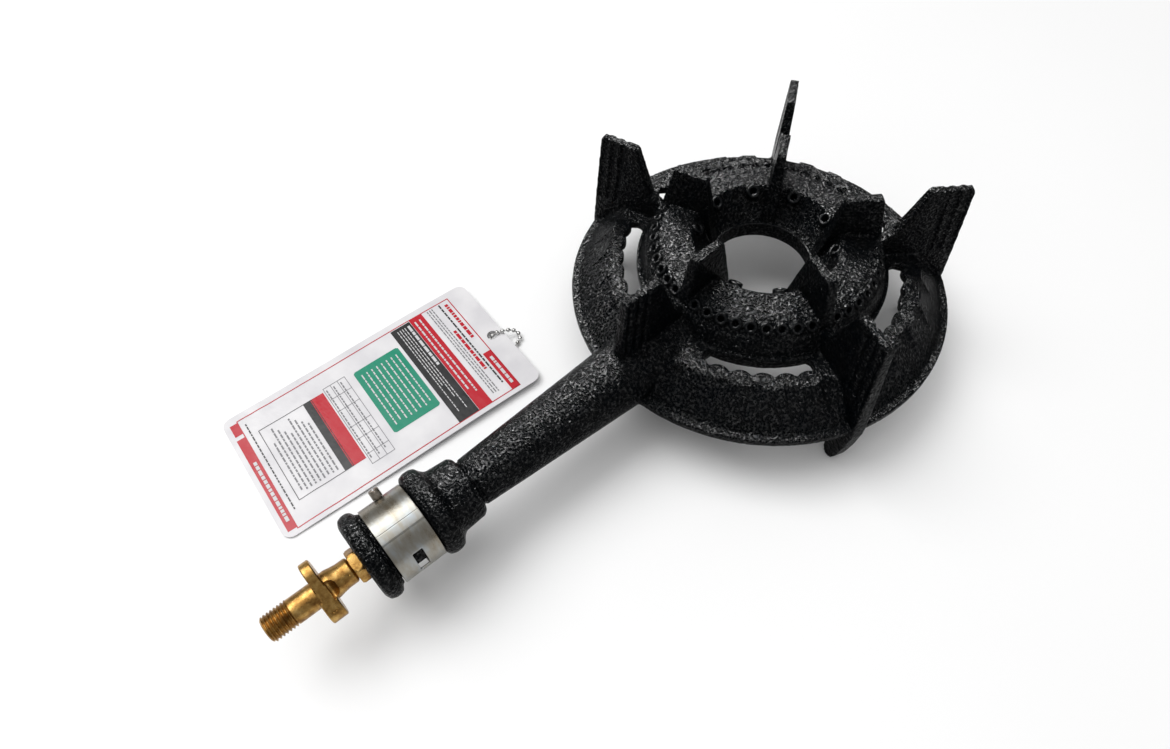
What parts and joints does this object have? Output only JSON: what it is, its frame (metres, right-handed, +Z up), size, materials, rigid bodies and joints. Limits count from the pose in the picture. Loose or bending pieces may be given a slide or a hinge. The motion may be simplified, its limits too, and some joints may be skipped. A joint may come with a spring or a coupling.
{
  "type": "gas ring burner",
  "caption": "Cast-iron gas ring burner on short legs, with inner and outer crowns of pot supports, a mixing tube with a turning air shutter, a brass inlet and a loose hang tag.",
  "frame": {"origin": "on the floor under the centre of the burner ring", "axes": "+Z up; the mixing tube and its gas inlet run out along -X"},
  "size_m": [0.3728, 0.2259, 0.0897],
  "materials": {
    "black_iron": "glossy black enamel over a rough casting",
    "brass": "turned and forged brass",
    "zinc_sheet": "zinc plated sheet, satin",
    "screw_steel": "dull plated steel",
    "laminate": "printed card in a clear laminate",
    "chain_steel": "plated steel"
  },
  "bodies": {
    "burner": {"burner_ring": "black_iron", "skirt_segment_1": "black_iron", "skirt_segment_2": "black_iron", "skirt_segment_3": "black_iron", "skirt_segment_4": "black_iron", "skirt_segment_5": "black_iron", "outer_support_1": "black_iron", "outer_support_2": "black_iron", "outer_support_3": "black_iron", "outer_support_4": "black_iron", "outer_support_5": "black_iron", "inner_support_1": "black_iron", "inner_support_2": "black_iron", "inner_support_3": "black_iron", "inner_support_4": "black_iron", "inner_support_5": "black_iron", "mixing_tube": "black_iron", "bell_collar": "black_iron", "shutter_cage": "black_iron", "cage_web": "black_iron", "end_cap": "black_iron", "lock_nut": "brass", "gas_inlet": "brass", "injector_jet": "brass"},
    "air_shutter": {"air_shutter": "zinc_sheet"},
    "shutter_screw": {"shutter_screw": "screw_steel"},
    "loose_tag": {"hang_tag": "laminate", "bead_chain": "chain_steel", "chain_coupling": "chain_steel"}
  },
  "joints": [
    {"name": "air_shutter_turn", "type": "hinge", "parent": "burner", "child": "air_shutter", "pos_m": [-0.21475, 0, 0.0375], "axis": [1, 0, 0], "range_deg": [0, 120]},
    {"name": "shutter_screw_turn", "type": "hinge", "parent": "air_shutter", "child": "shutter_screw", "pos_m": [-0.2146, 0.01438, 0.04833], "axis": [0, 0.7986, 0.6018], "range_deg": [0, 180]},
    {"name": "tag_lift", "type": "slide", "parent": "burner", "child": "loose_tag", "axis": [0, 0, 1], "range_m": [0, 0.12]}
  ]
}
